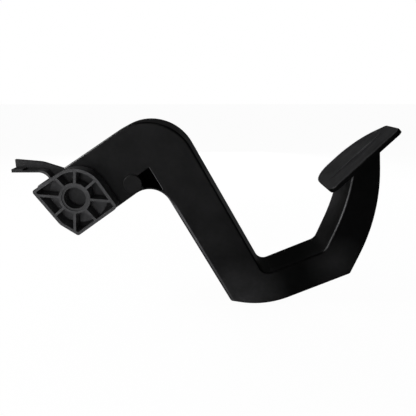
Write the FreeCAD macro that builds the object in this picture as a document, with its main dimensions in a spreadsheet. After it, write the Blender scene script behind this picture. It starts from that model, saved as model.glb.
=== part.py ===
"""Clutch pedal: a hollow S-shaped plastic arm with a ribbed pivot hub, stop finger and foot plate.

Millimetres. The origin is on the pivot axis at the middle of the arm's depth. X runs from the pivot
towards the foot plate, Y along the pivot axis from the hub's ribbed face to the open back, Z up.
"""
import FreeCAD, Part
import math
import os
import re

import Sketcher

SIZES = {
    # Moulding
    "arm_depth": 38.0,
    "wall": 3.5,
    "edge_round": 2.0,
    "inner_round": 1.0,
    # Middle line of the arm: pivot, bend, heel, toe and foot plate
    "arm_angle": 34.25,
    "arm_taper": 2.5,
    "arm_length": 88.0,
    "shank_drop": 60.65,
    "shank_length": 174.7,
    "shank_width": 40.8,
    "run_angle": 23.3,
    "run_length": 87.4,
    "run_width": 31.9,
    "rise_angle": 81.3,
    "rise_length": 105.4,
    "rise_width": 33.4,
    "rise_lean": 11.6,
    "outer_sweep": 27.8,
    "inner_sweep": 14.3,
    "neck_width": 21.0,
    "neck_shift": 2.2,
    # Corners of the arm's outline
    "outer_bend_radius": 43.4,
    "inner_bend_radius": 20.6,
    "crook_radius": 9.0,
    "knee_radius": 10.0,
    "rise_inner_radius": 180.0,
    "rise_outer_radius": 175.0,
    "toe_round": 3.5,
    "heel_angle": 10.0,
    "heel_drop": 9.1,
    "heel_radius": 82.0,
    "heel_round": 3.0,
    # Pivot hub
    "hub_radius": 26.3,
    "hub_low": 29.3,
    "hub_cut_reach": 27.9,
    "hub_proud": 14.0,
    "hub_inset": 1.2,
    "hub_rim": 2.6,
    "hub_rib": 2.2,
    "hub_rib_turn": 40.0,
    "hub_cut_angle": 122.0,
    "hub_cut_round": 4.0,
    "end_reach": 27.2,
    "end_cut_angle": 34.5,
    "end_cut_round": 10.0,
    "end_round": 2.6,
    "tube_wall": 2.1,
    "bush_wall": 2.0,
    "bush_length": 13.0,
    "bush_recess": 1.0,
    "bore_radius": 9.5,
    "core_clear": 0.5,
    # Ribs in the open back
    "rib": 2.4,
    "rib_recess": 2.0,
    "heel_bay": 34.0,
    "run_bay": 22.0,
    "rise_bay": 26.0,
    # Push-rod pin and its pocket
    "pin_reach": 45.1,
    "pin_offset": 20.3,
    "pin_radius": 4.0,
    "pin_play": 0.05,
    "pin_head_radius": 8.2,
    "pin_head_proud": 2.0,
    "pin_head_round": 0.6,
    "pin_tail": 2.5,
    "rod_pocket": 28.0,
    "rod_clear": 11.0,
    "window_height": 12.3,
    "window_gap": 1.5,
    "window_round": 0.8,
    "lip": 1.4,
    # Stop finger
    "finger_reach": 53.0,
    "finger_low": 22.0,
    "finger_height": 9.6,
    "finger_tilt": 5.0,
    "finger_bend_radius": 30.0,
    "finger_droop": 18.4,
    "finger_rise": 18.7,
    "finger_root_angle": 60.0,
    "finger_root": 10.3,
    "finger_crook_radius": 10.0,
    "finger_flange": 1.6,
    "finger_proud": 9.5,
    "foot_length": 9.5,
    "foot_thickness": 2.8,
    # Foot plate
    "pad_angle": 45.0,
    "pad_length": 77.4,
    "pad_thickness": 4.0,
    "pad_offset": 6.0,
    "pad_near": 28.0,
    "pad_far": 30.0,
    "pad_slant": 50.0,
    "pad_slant_reach": 30.3,
    "pad_crown_radius": 54.0,
    "pad_heel_round": 18.0,
    "pad_corner": 5.0,
    "pad_near_round": 8.0,
    "pad_edge_round": 1.2,
    "ridge_width": 2.2,
    "ridge_height": 0.6,
    "ridge_near": 23.2,
    "ridge_length": 58.0,
}

doc = FreeCAD.newDocument("ClutchPedal")
vector = FreeCAD.Vector


def make_sheet():
    sheet = doc.addObject("Spreadsheet::Sheet", "Dims")
    for row, (name, value) in enumerate(SIZES.items(), start=1):
        sheet.set("A%d" % row, name)
        sheet.set("B%d" % row, str(value))
        sheet.setAlias("B%d" % row, name)
    doc.recompute()
    return sheet


dims = make_sheet()


def bound(text):
    """Turns words such as 'wall / 2' into an expression on the sheet's cells."""
    return re.sub("[a-z_]+", lambda found: "Dims." + found[0] if found[0] in SIZES else found[0], text)


def value(text):
    """The present value of such words."""
    return float(dims.evalExpression(bound(text).replace("Dims.", "")))


# Places on the middle line, as expressions in the arm's own plane
BEND = ("arm_length * cos(arm_angle)", "arm_length * sin(arm_angle)")
HEEL = (BEND[0] + " + shank_length * cos(shank_drop)", BEND[1] + " - shank_length * sin(shank_drop)")
TOE = (HEEL[0] + " + run_length * cos(run_angle)", HEEL[1] + " + run_length * sin(run_angle)")
PLATE = (TOE[0] + " + rise_length * cos(rise_angle)", TOE[1] + " + rise_length * sin(rise_angle)")
PIVOT = ("0", "0")

# Heights along the pivot axis, counted from the middle of the arm towards the ribbed face
FRONT = "arm_depth / 2"
BACK = "-arm_depth / 2"
WEB = FRONT + " - wall"
HUB_FACE = FRONT + " + hub_proud"

# Directions of the outline's edges, walked with the material on the right
TOP_EDGE = "arm_angle - arm_taper / 2"
LOW_EDGE = "arm_angle + arm_taper / 2"
RISE_LOW = "rise_angle - rise_lean"


def add_body(label):
    body = doc.addObject("PartDesign::Body", label)
    body.Label = label
    return body


def add_sketch(body, name, height, place=PIVOT, turn=None, role="XZ_Plane"):
    """A sketch parallel to the arm's own plane, at a height towards the ribbed face."""
    sketch = body.newObject("Sketcher::SketchObject", name)
    plane = [item for item in body.Origin.OriginFeatures if item.Role == role][0]
    sketch.AttachmentSupport = [(plane, "")]
    sketch.MapMode = "FlatFace"
    sketch.setExpression("AttachmentOffset.Base.x", bound(place[0]))
    sketch.setExpression("AttachmentOffset.Base.y", bound(place[1]))
    sketch.setExpression("AttachmentOffset.Base.z", bound(height))
    if turn is not None:
        sketch.setExpression("AttachmentOffset.Rotation.Angle", bound(turn))
    return sketch


def bind(sketch, index, words):
    sketch.setExpression("Constraints[%d]" % index, bound(words))


def direction(angle):
    return vector(math.cos(math.radians(angle)), math.sin(math.radians(angle)), 0)


def meeting(point_a, angle_a, point_b, angle_b):
    a, b = direction(angle_a), direction(angle_b)
    gap = point_b - point_a
    cross = a.x * b.y - a.y * b.x
    return point_a + a * ((gap.x * b.y - gap.y * b.x) / cross)


def draw_outline(sketch, edges, rounds):
    """Draws a closed outline, walked with the material on the right.

    Each edge is (direction, reference place, distance to the left of that place), and each round is the
    radius between that edge and the next, or None for a sharp corner. All are words on the sheet.
    """
    count = len(edges)
    angles = [value(edge[0]) for edge in edges]
    places = [vector(value(edge[1][0]), value(edge[1][1]), 0) for edge in edges]
    on_edge = [places[i] + direction(angles[i] + 90) * value(edges[i][2]) for i in range(count)]
    corners = [meeting(on_edge[i], angles[i], on_edge[(i + 1) % count], angles[(i + 1) % count])
               for i in range(count)]
    turns = [(angles[(i + 1) % count] - angles[i] + 180) % 360 - 180 for i in range(count)]
    radii = [value(words) if words else 0.0 for words in rounds]
    back = [radii[i] * math.tan(math.radians(abs(turns[i])) / 2) for i in range(count)]
    starts = [corners[i - 1] + direction(angles[i]) * back[i - 1] for i in range(count)]
    ends = [corners[i] - direction(angles[i]) * back[i] for i in range(count)]

    first = sketch.GeometryCount
    lines = [Part.LineSegment(starts[i], ends[i]) for i in range(count)]
    sketch.addGeometry(lines, False)
    marks = {}
    for place, point in zip([edge[1] for edge in edges], places):
        if place != PIVOT and place not in marks:
            marks[place] = sketch.addGeometry(Part.Point(point), True)
    constraints = []
    words_at = []

    def add(words, *parts):
        if words is not None:
            words_at.append((len(constraints), words))
        constraints.append(Sketcher.Constraint(*parts))

    for place, mark in marks.items():
        add(place[0], "DistanceX", -1, 1, mark, 1, value(place[0]))
        add(place[1], "DistanceY", -1, 1, mark, 1, value(place[1]))
    for i, (angle, place, distance) in enumerate(edges):
        add(angle, "Angle", first + i, math.radians(angles[i]))
        size = value(distance)
        mark = marks.get(place, -1)
        words = distance if size > 0 else "-(%s)" % distance
        add(words, "Distance", mark, 1, first + i, abs(size))
    for i in range(count):
        here, there = first + i, first + (i + 1) % count
        if not rounds[i]:
            add(None, "Coincident", here, 2, there, 1)
            continue
        convex = turns[i] < 0
        side = -90 if convex else 90
        centre = ends[i] + direction(angles[i] + side) * radii[i]
        near = math.radians(angles[i] - side)
        far = math.radians(angles[i] + turns[i] - side)
        circle = Part.Circle(centre, vector(0, 0, 1), radii[i])
        arc = Part.ArcOfCircle(circle, far, near) if convex else Part.ArcOfCircle(circle, near, far)
        index = sketch.addGeometry(arc, False)
        add(None, "Tangent", here, 2, index, 2 if convex else 1)
        add(None, "Tangent", there, 1, index, 1 if convex else 2)
        add(rounds[i], "Radius", index, radii[i])
    base = sketch.ConstraintCount
    sketch.addConstraint(constraints)
    for index, words in words_at:
        bind(sketch, base + index, words)


def draw_circle(sketch, radius, place=PIVOT):
    centre = vector(value(place[0]), value(place[1]), 0)
    index = sketch.addGeometry(Part.Circle(centre, vector(0, 0, 1), value(radius)), False)
    base = sketch.ConstraintCount
    sketch.addConstraint(Sketcher.Constraint("Radius", index, value(radius)))
    bind(sketch, base, radius)
    if place == PIVOT:
        sketch.addConstraint(Sketcher.Constraint("Coincident", index, 3, -1, 1))
    else:
        sketch.addConstraint(Sketcher.Constraint("DistanceX", -1, 1, index, 3, centre.x))
        bind(sketch, base + 1, place[0])
        sketch.addConstraint(Sketcher.Constraint("DistanceY", -1, 1, index, 3, centre.y))
        bind(sketch, base + 2, place[1])


def box_edges(turn, place, left, up, right, down):
    """The four edges of a box turned by an angle, with its reaches from a place."""
    return [(turn, place, up), (turn + " - 90", place, right),
            (turn + " - 180", place, down), (turn + " + 90", place, left)]


SHARP = [None] * 4


def draw_box(sketch, turn, place, left, up, right, down):
    draw_outline(sketch, box_edges(turn, place, left, up, right, down), SHARP)


def pad(body, name, sketch, length, to_back=False):
    feature = body.newObject("PartDesign::Pad", name)
    feature.Profile = sketch
    feature.setExpression("Length", bound(length))
    feature.Reversed = to_back
    doc.recompute()
    return feature


def pocket(body, name, sketch, length, to_front=False):
    before = body.Tip.Shape.Volume
    feature = body.newObject("PartDesign::Pocket", name)
    feature.Profile = sketch
    feature.setExpression("Length", bound(length))
    feature.Reversed = to_front
    doc.recompute()
    if feature.Shape.Volume >= before:
        raise RuntimeError(name + " cuts nothing")
    return feature


def round_edges(body, name, radius, wanted):
    """Rounds the edges of the body that the test picks."""
    base = body.Tip
    names = ["Edge%d" % (i + 1) for i, edge in enumerate(base.Shape.Edges) if wanted(edge)]
    feature = body.newObject("PartDesign::Fillet", name)
    feature.Base = (base, names)
    feature.setExpression("Radius", bound(radius))
    doc.recompute()
    return feature


def on_arm_front(edge):
    """True for the edges of the arm's front face."""
    return edge.BoundBox.YMax < 1e-4 - value(FRONT)


def hub_edges(inset):
    """The hub's own outline: a round about the pivot, cut flat towards the arm and at its free end."""
    step = " - hub_inset" + inset
    return [(TOP_EDGE, PIVOT, "hub_radius" + step), ("hub_cut_angle - 180", PIVOT, "hub_cut_reach" + step),
            (LOW_EDGE + " - 180", PIVOT, "hub_low" + step), ("180 - end_cut_angle", PIVOT, "hub_low" + step),
            (LOW_EDGE + " + 90", PIVOT, "end_reach" + step)]


HUB_ROUNDS = ["hub_radius - hub_inset", "hub_cut_round", "end_round", "end_cut_round", "end_round"]
HUB_POCKET_ROUNDS = ["hub_radius - hub_inset - hub_rim", "inner_round", "inner_round",
                     "end_cut_round - hub_rim", "inner_round"]


def arm_edges(inset):
    """The side view of the arm, from the top of the hub round by the foot plate and back by the heel."""
    low, half = "hub_low" + inset, " / 2" + inset
    return [(TOP_EDGE, PIVOT, "hub_radius" + inset),
            ("-shank_drop", BEND, "shank_width" + half),
            ("run_angle", HEEL, "run_width" + half),
            (RISE_LOW, TOE, "rise_width" + half),
            (RISE_LOW + " + inner_sweep", PLATE, "neck_width" + half + " - neck_shift"),
            ("pad_angle", PLATE, "-pad_thickness / 2" + inset),
            (RISE_LOW + " + outer_sweep - 180", PLATE, "neck_width" + half + " + neck_shift"),
            (RISE_LOW + " - 180", TOE, "rise_width" + half),
            ("run_angle - 180", HEEL, "run_width" + half),
            ("180 - heel_angle", HEEL, "heel_drop" + inset),
            ("180 - shank_drop", BEND, "shank_width" + half),
            (LOW_EDGE + " - 180", PIVOT, low),
            ("180 - end_cut_angle", PIVOT, low),
            (LOW_EDGE + " + 90", PIVOT, "end_reach" + inset)]


ARM_ROUNDS = ["outer_bend_radius", "crook_radius", "knee_radius", "rise_inner_radius", None, None,
              "rise_outer_radius", "toe_round", "heel_radius", "heel_round", "inner_bend_radius", "end_round",
              "end_cut_round", "end_round"]
CHANNEL_ROUNDS = ["outer_bend_radius - wall", "crook_radius + wall", "knee_radius + wall",
                  "rise_inner_radius + wall", None, None, "rise_outer_radius - wall", "inner_round",
                  "heel_radius - wall", "inner_round", "inner_bend_radius + wall", "inner_round",
                  "end_cut_round - wall", "inner_round"]


def build_channel(body):
    """The arm's block, hollowed from the back to one even wall."""
    outline = add_sketch(body, "ArmOutline", BACK)
    draw_outline(outline, arm_edges(""), ARM_ROUNDS)
    pad(body, "ArmBlock", outline, "arm_depth")
    round_edges(body, "FrontRound", "edge_round", on_arm_front)
    channel = add_sketch(body, "ChannelOutline", BACK)
    draw_outline(channel, arm_edges(" - wall"), CHANNEL_ROUNDS)
    pocket(body, "Channel", channel, "arm_depth - wall", to_front=True)


RIB_LENGTH = "arm_depth - wall - rib_recess"
LONG = "arm_length + shank_length + run_length + rise_length"


def rib_strip(body, name, place, turn, slant, reach):
    """One rib through a place of the channel, as long each way as its reach."""
    sketch = add_sketch(body, name + "Line", WEB, place, turn)
    draw_box(sketch, slant, PIVOT, reach, "rib / 2", reach, "rib / 2")
    return sketch, pad(body, name, sketch, RIB_LENGTH, to_back=True)


def crossed_bay(body, name, place, turn, width, bays):
    """A row of crossed ribs along a straight stretch of the channel."""
    reach = "(%s - wall) / 2 * sqrt(2)" % width
    sketch, rising = rib_strip(body, name + "Rising", place, turn, "45", reach)
    falling = rib_strip(body, name + "Falling", place, turn, "-45", reach)[1]
    row = body.newObject("PartDesign::LinearPattern", name + "Row")
    row.Originals = [rising, falling]
    row.Direction = (sketch, ["H_Axis"])
    row.setExpression("Length", bound("(%s - wall) * %d" % (width, bays - 1)))
    row.Occurrences = bays
    body.Tip = row
    doc.recompute()


def along(place, angle, distance):
    return ("%s + (%s) * cos(%s)" % (place[0], distance, angle),
            "%s + (%s) * sin(%s)" % (place[1], distance, angle))


def build_back_ribs(body):
    """The lattice in the open back, trimmed to the arm's outline."""
    strip = rib_strip(body, "HubBack", PIVOT, "0", "hub_rib_turn", "arm_length / 2")[1]
    star = body.newObject("PartDesign::PolarPattern", "HubBackStar")
    star.Originals = [strip]
    star.Axis = (strip.Profile[0], ["N_Axis"])
    star.Angle = 135
    star.Occurrences = 4
    body.Tip = star
    doc.recompute()
    shank_start = along(HEEL, "-shank_drop", "-heel_bay - 2 * (shank_width - wall)")
    crossed_bay(body, "Shank", shank_start, "-shank_drop", "shank_width", 3)
    run_start = along(HEEL, "run_angle", "run_bay")
    crossed_bay(body, "Run", run_start, "run_angle", "run_width", 2)
    bisector = "(arm_angle - shank_drop) / 2 + 90"
    rib_strip(body, "BendRib", BEND, "0", bisector, "outer_bend_radius")
    for index in range(3):
        place = along(TOE, "rise_angle", "rise_bay * %d" % index)
        rib_strip(body, "RiseRib%d" % index, place, "rise_angle", "90", "rise_width / 2")
    tube = add_sketch(body, "BackTubeCircle", WEB)
    draw_circle(tube, "bore_radius + bush_wall + tube_wall")
    pad(body, "BackTube", tube, "arm_depth - wall", to_back=True)


PIN = (("pin_reach * cos(%s) + pin_offset * sin(%s)" % (LOW_EDGE, LOW_EDGE)),
       ("pin_reach * sin(%s) - pin_offset * cos(%s)" % (LOW_EDGE, LOW_EDGE)))


def on_window_side(edge):
    """True for the window's edge along the shank, on the arm's front face."""
    drop = math.radians(value("shank_drop"))
    across = vector(math.sin(drop), 0, math.cos(drop))
    bend = vector(value(BEND[0]), 0, value(BEND[1]))
    ends = [edge.valueAt(edge.FirstParameter), edge.valueAt(edge.LastParameter)]
    on_face = all(abs(point.y + value(FRONT)) < 1e-4 for point in ends)
    half = value("shank_width / 2")
    return on_face and all(abs((point - bend).dot(across) + half) < 1e-3 for point in ends)


def build_rod_pocket(body):
    """The walled pocket at the inner bend for the push rod's eye, slotted below and lipped beside the pin."""
    down = "hub_low - pin_offset + rod_clear"
    box = add_sketch(body, "RodBoxOutline", WEB)
    draw_outline(box, [(LOW_EDGE, PIN, "rod_clear + wall"),
                       ("-shank_drop", BEND, "-(shank_width / 2 - wall)"),
                       (LOW_EDGE + " - 180", PIN, down),
                       (LOW_EDGE + " + 90", PIN, "rod_clear + wall")], SHARP)
    pad(body, "RodBox", box, "rod_pocket + wall", to_back=True)
    trim = add_sketch(body, "OutsideTrim", FRONT)
    draw_outline(trim, arm_edges(""), ARM_ROUNDS)
    draw_box(trim, "0", PIVOT, LONG, LONG, LONG, LONG)
    pocket(body, "OutsideCut", trim, "arm_depth")
    room = add_sketch(body, "RodRoomOutline", WEB)
    side = "-(shank_width / 2)"
    draw_outline(room, [(LOW_EDGE, PIN, "rod_clear"), ("-shank_drop", BEND, side),
                        (LOW_EDGE + " - 180", PIN, down), (LOW_EDGE + " + 90", PIN, "rod_clear")], SHARP)
    pocket(body, "RodRoom", room, "rod_pocket")
    window = add_sketch(body, "WindowOutline", FRONT)
    draw_outline(window, [(LOW_EDGE, PIN, "window_height - hub_low + pin_offset"),
                          ("-shank_drop", BEND, side), (LOW_EDGE + " - 180", PIN, down),
                          (LOW_EDGE + " + 90", PIN, "-pin_radius - window_gap")], SHARP)
    pocket(body, "Window", window, "wall")
    round_edges(body, "WindowRound", "window_round", on_window_side)
    lip = add_sketch(body, "LipOutline", FRONT + " - edge_round")
    draw_outline(lip, [(LOW_EDGE, PIVOT, "-(hub_low - lip)"),
                       ("-shank_drop", BEND, "-(shank_width / 2 - lip)"),
                       ("-shank_drop - 90", BEND, "shank_width + inner_bend_radius"),
                       ("180 - shank_drop", BEND, "shank_width / 2"), (LOW_EDGE + " - 180", PIVOT, "hub_low"),
                       (LOW_EDGE + " + 90", PIN, "rod_clear + wall / 2")],
                 ["inner_bend_radius + lip", None, None, "inner_bend_radius", None, None])
    pad(body, "Lip", lip, "wall - edge_round + rod_pocket", to_back=True)
    slot = add_sketch(body, "RodSlotOutline", WEB)
    draw_box(slot, LOW_EDGE, PIN, "rod_clear", "0", "-window_gap", down)
    pocket(body, "RodSlot", slot, "rod_pocket")
    hole = add_sketch(body, "PinHole", FRONT)
    draw_circle(hole, "pin_radius + pin_play", PIN)
    pocket(body, "PinBore", hole, "rod_pocket + 2 * wall")


def build_hub(body):
    """The raised ribbed hub with its tube, and the bush seats on both sides."""
    rim = add_sketch(body, "HubRimOutline", FRONT + " - edge_round")
    draw_outline(rim, hub_edges(""), HUB_ROUNDS)
    draw_outline(rim, hub_edges(" - hub_rim"), HUB_POCKET_ROUNDS)
    pad(body, "HubRim", rim, "hub_proud + edge_round")
    tube = add_sketch(body, "HubTubeCircle", FRONT)
    draw_circle(tube, "bore_radius + bush_wall + tube_wall")
    pad(body, "HubTube", tube, "hub_proud")
    line = add_sketch(body, "HubRibLine", FRONT)
    draw_box(line, "hub_rib_turn", PIVOT, "2 * hub_radius", "hub_rib / 2", "2 * hub_radius", "hub_rib / 2")
    strip = pad(body, "HubRib", line, "hub_proud")
    star = body.newObject("PartDesign::PolarPattern", "HubStar")
    star.Originals = [strip]
    star.Axis = (line, ["N_Axis"])
    star.Angle = 135
    star.Occurrences = 4
    body.Tip = star
    doc.recompute()
    trim = add_sketch(body, "HubTrim", HUB_FACE)
    draw_outline(trim, hub_edges(""), HUB_ROUNDS)
    draw_circle(trim, "3 * hub_radius")
    pocket(body, "HubCut", trim, "hub_proud")
    seat = add_sketch(body, "FrontSeat", HUB_FACE)
    draw_circle(seat, "bore_radius + bush_wall")
    pocket(body, "FrontSeatBore", seat, "bush_length + bush_recess")
    back_seat = add_sketch(body, "BackSeat", BACK)
    draw_circle(back_seat, "bore_radius + bush_wall")
    pocket(body, "BackSeatBore", back_seat, "bush_length + bush_recess", to_front=True)
    core = add_sketch(body, "BackCore", BACK)
    draw_circle(core, "bore_radius + core_clear")
    pocket(body, "BackCoreBore", core, "arm_depth - wall", to_front=True)


TIP_LOW = ("-finger_reach", "finger_low")
TIP_TOP = ("-finger_reach", "finger_low + finger_height")
FINGER_TIP = ("90", TIP_LOW, "0")
FINGER_UNDER = ("180 - finger_root_angle", PIVOT, "finger_root")
FINGER_LOW = ("180", TIP_LOW, "0")


def build_finger(body):
    """The stop finger: a web level with the arm's front wall, with a flange and a foot below it."""
    web = add_sketch(body, "FingerWebOutline", WEB)
    draw_outline(web, [FINGER_TIP, ("-finger_tilt", TIP_TOP, "0"), ("-finger_droop", PIVOT, "finger_rise"),
                       ("-90", PIVOT, "-bore_radius"), FINGER_UNDER, FINGER_LOW],
                 [None, "finger_bend_radius", None, None, "finger_crook_radius", None])
    pad(body, "FingerWeb", web, "wall")
    flange = add_sketch(body, "FingerFlangeOutline", WEB)
    draw_outline(flange, [FINGER_TIP, ("0", TIP_LOW, "finger_flange"),
                          ("-finger_root_angle", PIVOT, "-(finger_root - finger_flange)"),
                          (TOP_EDGE + " - 180", PIVOT, "-(hub_radius - hub_inset - hub_rim / 2)"),
                          FINGER_UNDER, FINGER_LOW],
                 [None, "finger_crook_radius - finger_flange", None, None, "finger_crook_radius", None])
    pad(body, "FingerFlange", flange, "wall + finger_proud")
    foot = add_sketch(body, "FingerFootOutline", WEB)
    draw_box(foot, "0", TIP_LOW, "0", "foot_thickness", "foot_length", "0")
    pad(body, "FingerFoot", foot, "wall + finger_proud")


def plate_sketch(body, name):
    """A sketch on the foot plate's face: its own X runs up the plate, its Y along the pivot axis."""
    sketch = add_sketch(body, name, PLATE[1], (PLATE[0], "0"), role="XY_Plane")
    lean = FreeCAD.Rotation(vector(0, -1, 0), value("pad_angle"))
    sketch.AttachmentOffset = FreeCAD.Placement(vector(), lean)
    sketch.setExpression("AttachmentOffset.Rotation.Angle", bound("pad_angle"))
    return sketch


def build_plate(body):
    """The thin foot plate: one straight side, one crowned side, and a low ridge up its face."""
    outline = plate_sketch(body, "PlateOutline")
    draw_outline(outline, [("90", PIVOT, "pad_length / 2 + pad_offset"), ("0", PIVOT, "pad_far"),
                           ("-pad_slant", PIVOT, "pad_slant_reach - pad_offset * sin(pad_slant)"),
                           ("-90", PIVOT, "pad_length / 2 - pad_offset"), ("180", PIVOT, "pad_near")],
                 ["pad_heel_round", "pad_crown_radius", "pad_corner", "pad_corner", "pad_near_round"])
    pad(body, "Plate", outline, "pad_thickness", to_back=True)
    round_edges(body, "PlateRound", "pad_edge_round", on_plate_face)
    ridge = plate_sketch(body, "RidgeLine")
    draw_box(ridge, "0", ("-pad_offset", "ridge_near - pad_near"), "ridge_length / 2", "ridge_width / 2",
             "ridge_length / 2", "ridge_width / 2")
    pad(body, "Ridge", ridge, "ridge_height")


def on_plate_face(edge):
    """True for the edges round the foot plate's upper face."""
    face_point = vector(value(PLATE[0]), 0, value(PLATE[1]))
    up = vector(-math.sin(math.radians(value("pad_angle"))), 0, math.cos(math.radians(value("pad_angle"))))
    ends = [edge.valueAt(edge.FirstParameter), edge.valueAt(edge.LastParameter)]
    return all(abs((point - face_point).dot(up)) < 1e-4 for point in ends)


def build_bush(label, mouth, to_front):
    """A plain liner ring, pressed down to the end of its seat."""
    body = add_body(label)
    ring = add_sketch(body, label + "_ring", mouth)
    draw_circle(ring, "bore_radius + bush_wall")
    draw_circle(ring, "bore_radius")
    pad(body, label + "_pad", ring, "bush_length", to_back=to_front)
    return body


def build_pin():
    """The push-rod pin: a round head on the arm's front and a shank across the pocket."""
    body = add_body("push_rod_pin")
    head = add_sketch(body, "PinHeadCircle", FRONT)
    draw_circle(head, "pin_head_radius", PIN)
    pad(body, "PinHead", head, "pin_head_proud")
    top = value(FRONT) + value("pin_head_proud")
    round_edges(body, "PinHeadRound", "pin_head_round", lambda edge: edge.BoundBox.YMax < 1e-4 - top)
    shank = add_sketch(body, "PinShankCircle", FRONT)
    draw_circle(shank, "pin_radius", PIN)
    pad(body, "PinShank", shank, "rod_pocket + 2 * wall + pin_tail", to_back=True)
    return body


def build_parts():
    arm = add_body("pedal_arm")
    build_channel(arm)
    build_back_ribs(arm)
    build_rod_pocket(arm)
    build_hub(arm)
    build_finger(arm)
    build_plate(arm)
    front_bush = build_bush("front_pivot_bush", HUB_FACE + " - bush_recess", True)
    rear_bush = build_bush("rear_pivot_bush", BACK + " + bush_recess", False)
    return [arm, front_bush, rear_bush, build_pin()]


parts = build_parts()
doc.recompute()

for item in doc.Objects:
    if "Invalid" in item.State or "Error" in item.State:
        raise RuntimeError("%s did not build: %s" % (item.Name, item.State))
os.makedirs("parts", exist_ok=True)
for part in parts:
    if part.Shape.isNull() or not part.Shape.isValid():
        raise RuntimeError(part.Label + " has no valid shape")
    part.Shape.exportStep(os.path.join("parts", part.Label + ".step"))
    print(part.Label, round(part.Shape.Volume), part.Shape.BoundBox)
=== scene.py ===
"""Looks for the clutch pedal: black moulded plastic on a white floor, from the photograph's angle."""
import math

import bpy
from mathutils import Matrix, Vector


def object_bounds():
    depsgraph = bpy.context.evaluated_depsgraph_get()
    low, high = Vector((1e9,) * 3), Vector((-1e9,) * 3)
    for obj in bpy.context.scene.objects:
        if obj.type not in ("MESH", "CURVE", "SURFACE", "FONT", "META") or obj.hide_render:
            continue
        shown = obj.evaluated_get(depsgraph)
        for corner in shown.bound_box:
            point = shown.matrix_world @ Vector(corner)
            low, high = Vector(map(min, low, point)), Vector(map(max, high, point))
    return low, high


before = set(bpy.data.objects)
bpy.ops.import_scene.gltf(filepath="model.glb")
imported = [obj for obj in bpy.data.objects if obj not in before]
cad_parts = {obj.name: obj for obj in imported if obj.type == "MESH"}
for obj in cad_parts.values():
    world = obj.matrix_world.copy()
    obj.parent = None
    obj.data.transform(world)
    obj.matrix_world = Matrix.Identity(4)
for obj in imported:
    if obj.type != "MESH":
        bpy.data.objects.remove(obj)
cad_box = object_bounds()

MILLIMETRE = 0.001

# Camera: place and near clip in metres, angles in degrees, sensor and lens in millimetres
CAMERA_PLACE = (0.11118, -0.38099, 0.09558)
CAMERA_TILT = 73.277
CAMERA_TURN = -0.6886
SENSOR_WIDTH = 36.0
LENS = 36.0
CLIP_START = 0.01

# Floor and backdrop
FLOOR_HALF = 4.0
FLOOR_COLOUR = (0.92, 0.92, 0.92, 1)
FLOOR_LIFT = 0.97
MIRROR_SHARE = 0.02
WHITE = (1, 1, 1, 1)
ROOM_LIGHT = 0.05

# Lamps: name, place, target, width, power and whether it leaves a sheen
LAMPS = [
    ("front", (-0.04, -0.75, 0.01), (0.1, 0, 0), 0.3, 5.0, False),
    ("edge", (-0.6, -0.5, -0.03), (0.1, 0, 0), 0.25, 2.5, True),
    ("left", (-0.6, -0.05, 0.42), (0.12, 0, 0), 0.2, 5.0, True),
    ("back", (0.1, 0.9, 0.05), (0.1, 0, 0), 0.4, 10.0, False),
    ("right", (0.95, 0.35, 0.0), (0.2, 0, 0), 0.3, 5.0, False),
]

# Colours, each between a darker and a lighter cloud
ARM_DARK = (0.0053, 0.0053, 0.0055)
ARM_LIGHT = (0.0075, 0.0075, 0.0078)
BUSH_DARK = (0.030, 0.030, 0.031)
BUSH_LIGHT = (0.038, 0.038, 0.039)
PIN_DARK = (0.006, 0.006, 0.0062)
PIN_LIGHT = (0.008, 0.008, 0.0082)

# Noise: the span of values it mostly takes, its detail and the sizes of its blotches
NOISE_LOW = 0.3
NOISE_HIGH = 0.7
FINE_DETAIL = 3.0
CLOUD_DETAIL = 4.0
CLOUD_SIZE = 18 * MILLIMETRE
PATCH_SIZE = 7 * MILLIMETRE
MOTTLE_SIZE = 3 * MILLIMETRE
MOTTLE = 0.15
ROUGHNESS_SPREAD = 0.06
GRAIN_STRENGTH = 0.35

# All tones multiply the arm's colour, and all places are in metres
FADE = 0.4 * MILLIMETRE
PIVOT = (0, 0, 0)
SIDE_VIEW = (1, 0, 1)

# Painted shade darkens the arm from the shank to the toe but for its rear rim, and painted light pales the
# rise's back
SHANK_END = 0.12
TOE_START = 0.2
TOE_SHADE_TONE = 0.2
INNER_FRONT = -0.012
INNER_BACK = 0.019
RISE_LOW = -0.055
RISE_HIGH = -0.015
BACK_LIGHT_TONE = 2.2
BACK_FACE = 0.019
RIM_TONE = 0.8

# Paler patches at the heel and toe: middle, reach and how much paler
PALE_PATCHES = [((0.152, 0, -0.108), 0.045, 2.0), ((0.236, 0, -0.068), 0.03, 1.0)]

# The hub's raised faces, its pocket floors, its bore and the finger, painted paler as painted light
HUB_CORNER = 0.036
FINGER_ROOT = 0.042
ARM_FACE = -0.0192
RAISED_FACE = -0.0205
RAISED_TONE = 4.6
HUB_REACH = 0.0255
FLOOR_TONE = 4.3
BORE_REACH = 0.0105
BORE_TONE = 2.2
FINGER_END = -0.01
FINGER_TONE = 1.6

# Painted shade in the hub's upper pockets, by height plus a share of X
UPPER_SHADE_LEAN = 0.5
UPPER_SHADE_START = 0.004
UPPER_SHADE_FULL = 0.011
UPPER_SHADE_TONE = 0.35

# The foot plate's face, where Z less X is the lift, with its ridge painted paler as a painted highlight,
# and its rub marks
PLATE_LIFT = -0.2185
PLATE_START = 0.215
PLATE_DEPTH = 0.0065
SKIN = 0.2 * MILLIMETRE
PLATE_TONE = 2.5
RIDGE_HIGHLIGHT_TONE = 1.4
STREAK_SHARE = 0.12
STREAK_WIDTH = 4 * MILLIMETRE
STREAK_DEPTH = 0.35

# Painted shade inside the push-rod pocket
POCKET_MIDDLE = (0.056, 0, 0.012)
POCKET_REACH = 0.02
POCKET_DEPTH = -0.0165
POCKET_SHADE_TONE = 0.1
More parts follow.
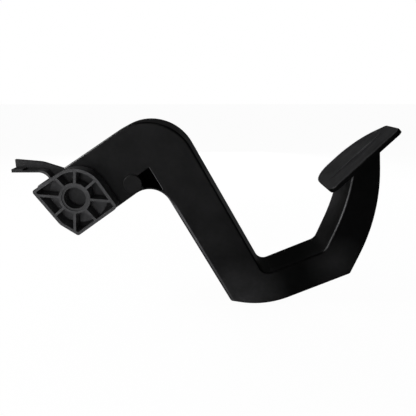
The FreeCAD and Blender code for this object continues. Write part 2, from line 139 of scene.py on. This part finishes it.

# Edges by the way they face: a painted highlight, painted shade, and the top of the arm paler as painted
# light
HIGHLIGHT_FACING = (-0.65, -0.745, -0.15)
SHADED_EDGES = [(0.54, -0.71, 0.45), (-0.28, -0.71, 0.65)]
EDGE_START = 0.84
EDGE_FULL = 0.95
HIGHLIGHT_TONE = 7.8
EDGE_SHADE_TONE = 0.1
CREST = (0.77, 0, 0.64)
CREST_START = 0.75
CREST_FULL = 0.95
CREST_LIGHT_TONE = 1.2

# The painted highlight along the shank's left edge, which is square to the direction SHANK_SIDE
FRONT = (0, -1, 0)
FRONT_START = 0.05
FRONT_FULL = 0.15
SHANK_SIDE = (-0.8713, 0, -0.4907)
SHANK_EDGE = -0.06725
GLINT_INNER = SHANK_EDGE - 3.0 * MILLIMETRE
GLINT_OUTER = SHANK_EDGE - 1.3 * MILLIMETRE
GLINT_LOW = -0.105
GLINT_TOP = -0.02
GLINT_FADE = 15 * MILLIMETRE
GLINT_LOW_TONE = 2.5
GLINT_TOP_TONE = 9.0
GLINT_START = 0.075


def new_material(name):
    material = bpy.data.materials.new(name)
    material.use_nodes = True
    material.node_tree.nodes.clear()
    return material


def add_node(material, kind, **settings):
    node = material.node_tree.nodes.new(kind)
    for name, value in settings.items():
        setattr(node, name, value)
    return node


def join(tree, output, target):
    tree.links.new(output, target)


def colour_ramp(material, source, low, high, low_colour, high_colour):
    """Turns a value between low and high into a colour between the two."""
    ramp = add_node(material, "ShaderNodeValToRGB")
    ramp.color_ramp.elements[0].position = low
    ramp.color_ramp.elements[1].position = high
    ramp.color_ramp.elements[0].color = (*low_colour, 1)
    ramp.color_ramp.elements[1].color = (*high_colour, 1)
    join(material.node_tree, source, ramp.inputs["Fac"])
    return ramp.outputs["Color"]


def noise(material, place, size, detail=2.0):
    """Noise whose blotches are about the given size in metres."""
    node = add_node(material, "ShaderNodeTexNoise")
    node.inputs["Scale"].default_value = 1 / size
    node.inputs["Detail"].default_value = detail
    join(material.node_tree, place, node.inputs["Vector"])
    return node.outputs["Fac"]


def stretch(material, source, start, end, at_start, at_end):
    """Carries a value from one range to another, held at its ends."""
    node = add_node(material, "ShaderNodeMapRange")
    node.inputs["From Min"].default_value = start
    node.inputs["From Max"].default_value = end
    node.inputs["To Min"].default_value = at_start
    node.inputs["To Max"].default_value = at_end
    join(material.node_tree, source, node.inputs["Value"])
    return node.outputs["Result"]


def combine(material, operation, first, second):
    node = add_node(material, "ShaderNodeMath", operation=operation)
    join(material.node_tree, first, node.inputs[0])
    join(material.node_tree, second, node.inputs[1])
    return node.outputs["Value"]


def product(material, first, *others):
    for other in others:
        first = combine(material, "MULTIPLY", first, other)
    return first


def total(material, first, *others):
    for other in others:
        first = combine(material, "ADD", first, other)
    return first


def step_up(material, source, end):
    """One from the given value on, and nought below it."""
    return stretch(material, source, end - FADE, end, 0, 1)


def opposite(material, mask):
    return stretch(material, mask, 0, 1, 1, 0)


def blotches(material, place, size, spread):
    """Noise around one, by the given spread."""
    source = noise(material, place, size, FINE_DETAIL)
    return stretch(material, source, NOISE_LOW, NOISE_HIGH, 1 - spread, 1 + spread)


def reach_from(material, flat_place, centre):
    """Distance from a point of the side view, in metres."""
    node = add_node(material, "ShaderNodeVectorMath", operation="DISTANCE")
    join(material.node_tree, flat_place, node.inputs[0])
    node.inputs[1].default_value = centre
    return node.outputs["Value"]


def facing(material, direction):
    """How nearly the surface faces a direction, one where it does."""
    node = add_node(material, "ShaderNodeVectorMath", operation="DOT_PRODUCT")
    geometry = add_node(material, "ShaderNodeNewGeometry")
    join(material.node_tree, geometry.outputs["Normal"], node.inputs[0])
    node.inputs[1].default_value = direction
    return node.outputs["Value"]


def along_direction(material, place, direction):
    """How far a point lies in a direction, in metres."""
    node = add_node(material, "ShaderNodeVectorMath", operation="DOT_PRODUCT")
    join(material.node_tree, place, node.inputs[0])
    node.inputs[1].default_value = direction
    return node.outputs["Value"]


def flattened(material, place):
    """The point's place in the side view."""
    node = add_node(material, "ShaderNodeVectorMath", operation="MULTIPLY")
    join(material.node_tree, place, node.inputs[0])
    node.inputs[1].default_value = SIDE_VIEW
    return node.outputs["Vector"]


def base_tone(material, axes, toe_side, off_plate):
    """The arm's tone, with painted shade darkening the toe and painted light paling the rise towards its
    back.
    """
    toe_shade = stretch(material, axes["X"], SHANK_END, TOE_START, 1.0, TOE_SHADE_TONE)
    rise_light = stretch(material, axes["Z"], RISE_LOW, RISE_HIGH, 0, BACK_LIGHT_TONE)
    behind = stretch(material, axes["Y"], INNER_FRONT, INNER_BACK, 0, 1)
    return total(material, toe_shade, product(material, toe_side, rise_light, behind, off_plate))


def hub_tone(material, axes, flat_place):
    """The hub and finger painted paler as painted light, with painted shade in the upper pockets."""
    from_pivot = reach_from(material, flat_place, PIVOT)
    # Painted light on the raised faces, the pocket floors, the bore's floor and the finger
    raised = stretch(material, axes["Y"], ARM_FACE, RAISED_FACE, 0, RAISED_TONE)
    raised = product(material, raised, stretch(material, from_pivot, HUB_CORNER, FINGER_ROOT, 1, 0))
    floors = stretch(material, from_pivot, BORE_REACH, BORE_REACH + FADE, BORE_TONE, FLOOR_TONE)
    # Painted shade in the upper pockets, left off inside the bore
    lean = stretch(material, axes["X"], -1, 1, -UPPER_SHADE_LEAN, UPPER_SHADE_LEAN)
    height = total(material, axes["Z"], lean)
    upper_shade = stretch(material, height, UPPER_SHADE_START, UPPER_SHADE_FULL, 1, UPPER_SHADE_TONE)
    in_bore = stretch(material, from_pivot, BORE_REACH, BORE_REACH + FADE, 1, 0)
    shade_off_bore = combine(material, "MAXIMUM", upper_shade, in_bore)
    in_hub = stretch(material, from_pivot, HUB_REACH, HUB_REACH + FADE, 1, 0)
    floors = product(material, floors, shade_off_bore, in_hub)
    finger = stretch(material, axes["X"], FINGER_END, FINGER_END + FADE, FINGER_TONE, 0)
    return combine(material, "MAXIMUM", combine(material, "MAXIMUM", raised, floors), finger)


def foot_streaks(material, axes):
    """Rub marks that run along the foot plate, around one."""
    length = stretch(material, total(material, axes["X"], axes["Z"]), 0, 1, 0, STREAK_SHARE)
    drawn_out = add_node(material, "ShaderNodeCombineXYZ")
    join(material.node_tree, length, drawn_out.inputs["X"])
    join(material.node_tree, axes["Y"], drawn_out.inputs["Y"])
    return blotches(material, drawn_out.outputs["Vector"], STREAK_WIDTH, STREAK_DEPTH)


def plate_tone(material, axes, lift, plate_side):
    """The foot plate's paler face, and its ridge painted paler still as a painted highlight."""
    face = stretch(material, lift, PLATE_LIFT - 2 * SKIN, PLATE_LIFT - SKIN, 0, PLATE_TONE)
    # Painted highlight along the ridge
    ridge = stretch(material, lift, PLATE_LIFT + SKIN, PLATE_LIFT + 2 * SKIN, 0, RIDGE_HIGHLIGHT_TONE)
    return product(material, total(material, face, ridge), plate_side, foot_streaks(material, axes))


def shank_glint(material, tone, place, axes):
    """Adds a painted highlight as a pale line inside the shank's left edge, and painted shade on the
    rounding outside it.
    """
    across = along_direction(material, place, SHANK_SIDE)
    below = stretch(material, axes["Z"], GLINT_TOP, GLINT_TOP + GLINT_FADE, 1, 0)
    beyond = stretch(material, axes["X"], GLINT_START, GLINT_START + FADE, 0, 1)
    front = stretch(material, facing(material, FRONT), FRONT_START, FRONT_FULL, 0, 1)
    shank = product(material, below, beyond, front)
    strength = stretch(material, axes["Z"], GLINT_LOW, GLINT_TOP, GLINT_LOW_TONE, GLINT_TOP_TONE)
    glint = product(material, step_up(material, across, GLINT_INNER), strength, shank)
    rounding = product(material, step_up(material, across, GLINT_OUTER), shank)
    # Painted shade on the rounding outside the line
    dark = stretch(material, rounding, 0, 1, 1, EDGE_SHADE_TONE)
    return product(material, total(material, tone, glint), dark)


def pocket_shade(material, axes, flat_place):
    """Painted shade around the push-rod pocket behind the arm's front, and one elsewhere."""
    inside = stretch(material, axes["Y"], POCKET_DEPTH, POCKET_DEPTH + FADE, 0, 1)
    from_pocket = reach_from(material, flat_place, POCKET_MIDDLE)
    around = stretch(material, from_pocket, POCKET_REACH, POCKET_REACH + FADE, 1, 0)
    return stretch(material, product(material, inside, around), 0, 1, 1, POCKET_SHADE_TONE)


def pedal_tone(material, place):
    """How pale the moulding is: painted light on the hub and finger, paler corners and foot plate, and
    painted highlights and shade.
    """
    separate = add_node(material, "ShaderNodeSeparateXYZ")
    join(material.node_tree, place, separate.inputs["Vector"])
    axes = separate.outputs
    flat_place = flattened(material, place)
    lift = combine(material, "SUBTRACT", axes["Z"], axes["X"])
    plate_side = stretch(material, axes["X"], PLATE_START, PLATE_START + FADE, 0, 1)
    on_plate = product(material, step_up(material, lift, PLATE_LIFT - PLATE_DEPTH), plate_side)
    off_plate = opposite(material, on_plate)
    toe_side = stretch(material, axes["X"], SHANK_END, TOE_START, 0, 1)

    tone = base_tone(material, axes, toe_side, off_plate)
    for centre, reach, amount in PALE_PATCHES:
        pale_patch = stretch(material, reach_from(material, flat_place, centre), 0, reach, amount, 0)
        tone = total(material, tone, pale_patch)
    tone = total(material, tone, hub_tone(material, axes, flat_place))
    tone = total(material, tone, plate_tone(material, axes, lift, plate_side))

    # Painted highlight on the edges that face left and towards the front
    edge_highlight = stretch(material, facing(material, HIGHLIGHT_FACING), EDGE_START, EDGE_FULL, 0, HIGHLIGHT_TONE)
    tone = total(material, tone, product(material, edge_highlight, off_plate))
    # The rear rim on the toe side is lifted back out of the toe's painted shade
    rim = stretch(material, axes["Y"], BACK_FACE - 2 * FADE, BACK_FACE - FADE, 0, RIM_TONE)
    tone = total(material, tone, product(material, rim, off_plate, toe_side))
    # Painted highlight along the shank's left edge, with painted shade on its rounding
    tone = shank_glint(material, tone, place, axes)
    # Painted light on the arm's top where it faces up and to the right, away from the toe
    crest_light = stretch(material, facing(material, CREST), CREST_START, CREST_FULL, 0, CREST_LIGHT_TONE)
    tone = total(material, tone, product(material, crest_light, opposite(material, toe_side)))
    # Painted shade, a dark line, on the edges that face the front and upwards
    for direction in SHADED_EDGES:
        edge_shade = stretch(material, facing(material, direction), EDGE_START, EDGE_FULL, 1, EDGE_SHADE_TONE)
        tone = product(material, tone, combine(material, "MAXIMUM", edge_shade, on_plate))

    mottle = blotches(material, place, MOTTLE_SIZE, MOTTLE)
    # The last factor is the painted shade in the push-rod pocket
    return product(material, tone, mottle, pocket_shade(material, axes, flat_place))


def moulded_plastic(name, dark, light, roughness, gloss, grain_size, grain_depth, tone=None):
    """Black moulded plastic with a fine grain, faint cloudiness and uneven gloss."""
    material = new_material(name)
    tree = material.node_tree
    shader = add_node(material, "ShaderNodeBsdfPrincipled")
    output = add_node(material, "ShaderNodeOutputMaterial")
    place = add_node(material, "ShaderNodeTexCoord").outputs["Object"]
    shader.inputs["Specular IOR Level"].default_value = gloss
    clouds = noise(material, place, CLOUD_SIZE, CLOUD_DETAIL)
    colour = colour_ramp(material, clouds, NOISE_LOW, NOISE_HIGH, dark, light)
    if tone:
        scaled = add_node(material, "ShaderNodeVectorMath", operation="SCALE")
        join(tree, colour, scaled.inputs[0])
        join(tree, tone(material, place), scaled.inputs["Scale"])
        colour = scaled.outputs["Vector"]
    join(tree, colour, shader.inputs["Base Color"])
    patches = noise(material, place, PATCH_SIZE, FINE_DETAIL)
    uneven = stretch(material, patches, NOISE_LOW, NOISE_HIGH,
                     roughness - ROUGHNESS_SPREAD, roughness + ROUGHNESS_SPREAD)
    join(tree, uneven, shader.inputs["Roughness"])
    grain = add_node(material, "ShaderNodeBump")
    grain.inputs["Strength"].default_value = GRAIN_STRENGTH
    grain.inputs["Distance"].default_value = grain_depth
    join(tree, noise(material, place, grain_size), grain.inputs["Height"])
    join(tree, grain.outputs["Normal"], shader.inputs["Normal"])
    join(tree, shader.outputs["BSDF"], output.inputs["Surface"])
    return material


def seen_rays(material):
    """One for rays from the camera, mirrors or glass, and nought for those that only bring light."""
    path = add_node(material, "ShaderNodeLightPath").outputs
    direct = combine(material, "MAXIMUM", path["Is Camera Ray"], path["Is Transmission Ray"])
    return combine(material, "MAXIMUM", direct, path["Is Glossy Ray"])


def seen_white(material):
    """The white's strength: full where it is looked at, and almost none where it is mirrored."""
    path = add_node(material, "ShaderNodeLightPath").outputs
    return stretch(material, path["Is Glossy Ray"], 0, 1, 1, MIRROR_SHARE)


def floor_material():
    """A floor lifted to the backdrop's white where it is looked at, with a trace of the object's shadow."""
    material = new_material("floor white")
    tree = material.node_tree
    paint = add_node(material, "ShaderNodeBsdfDiffuse")
    paint.inputs["Color"].default_value = FLOOR_COLOUR
    glow = add_node(material, "ShaderNodeEmission")
    glow.inputs["Color"].default_value = WHITE
    join(tree, seen_white(material), glow.inputs["Strength"])
    mix = add_node(material, "ShaderNodeMixShader")
    join(tree, stretch(material, seen_rays(material), 0, 1, 0, FLOOR_LIFT), mix.inputs[0])
    join(tree, paint.outputs["BSDF"], mix.inputs[1])
    join(tree, glow.outputs["Emission"], mix.inputs[2])
    output = add_node(material, "ShaderNodeOutputMaterial")
    join(tree, mix.outputs["Shader"], output.inputs["Surface"])
    return material


def add_floor(height):
    half = FLOOR_HALF
    mesh = bpy.data.meshes.new("floor")
    corners = [(-half, -half, height), (half, -half, height),
               (half, half, height), (-half, half, height)]
    mesh.from_pydata(corners, [], [(0, 1, 2, 3)])
    mesh.materials.append(floor_material())
    floor = bpy.data.objects.new("floor", mesh)
    bpy.context.scene.collection.objects.link(floor)


def set_world():
    """A backdrop that is white to look at and almost dark when mirrored, with faint light elsewhere."""
    world = bpy.data.worlds.new("studio")
    bpy.context.scene.world = world
    world.use_nodes = True
    tree = world.node_tree
    tree.nodes.clear()
    room = add_node(world, "ShaderNodeBackground")
    room.inputs["Color"].default_value = WHITE
    room.inputs["Strength"].default_value = ROOM_LIGHT
    backdrop = add_node(world, "ShaderNodeBackground")
    backdrop.inputs["Color"].default_value = WHITE
    join(tree, seen_white(world), backdrop.inputs["Strength"])
    mix = add_node(world, "ShaderNodeMixShader")
    join(tree, seen_rays(world), mix.inputs[0])
    join(tree, room.outputs["Background"], mix.inputs[1])
    join(tree, backdrop.outputs["Background"], mix.inputs[2])
    output = add_node(world, "ShaderNodeOutputWorld")
    join(tree, mix.outputs["Shader"], output.inputs["Surface"])


def add_softbox(name, place, target, size, power, mirrored):
    """A square lamp; one that is not mirrored gives light but leaves no sheen."""
    lamp = bpy.data.lights.new(name, "AREA")
    lamp.shape = "SQUARE"
    lamp.size = size
    lamp.energy = power
    holder = bpy.data.objects.new(name, lamp)
    bpy.context.scene.collection.objects.link(holder)
    holder.location = place
    holder.visible_glossy = mirrored
    holder.visible_camera = False
    holder.rotation_euler = (Vector(target) - Vector(place)).to_track_quat("-Z", "Y").to_euler()


def add_camera():
    data = bpy.data.cameras.new("camera")
    data.sensor_width = SENSOR_WIDTH
    data.lens = LENS
    data.clip_start = CLIP_START
    camera = bpy.data.objects.new("camera", data)
    camera.location = CAMERA_PLACE
    camera.rotation_euler = (math.radians(CAMERA_TILT), 0, math.radians(CAMERA_TURN))
    bpy.context.scene.collection.objects.link(camera)
    bpy.context.scene.camera = camera


def dress(node, material):
    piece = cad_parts[node]
    piece.data.materials.clear()
    piece.data.materials.append(material)


bpy.context.scene.view_settings.view_transform = "Standard"
arm_finish = moulded_plastic("black moulding", ARM_DARK, ARM_LIGHT, roughness=0.35, gloss=0.25,
                             grain_size=0.45 * MILLIMETRE, grain_depth=0.05 * MILLIMETRE, tone=pedal_tone)
bush_finish = moulded_plastic("bush plastic", BUSH_DARK, BUSH_LIGHT, roughness=0.4, gloss=0.15,
                              grain_size=0.3 * MILLIMETRE, grain_depth=0.02 * MILLIMETRE)
pin_finish = moulded_plastic("pin black", PIN_DARK, PIN_LIGHT, roughness=0.42, gloss=0.15,
                             grain_size=0.35 * MILLIMETRE, grain_depth=0.03 * MILLIMETRE)
dress("pedal_arm", arm_finish)
dress("front_pivot_bush", bush_finish)
dress("rear_pivot_bush", bush_finish)
dress("push_rod_pin", pin_finish)

set_world()
add_floor(cad_box[0][2])
for lamp_settings in LAMPS:
    add_softbox(*lamp_settings)
add_camera()
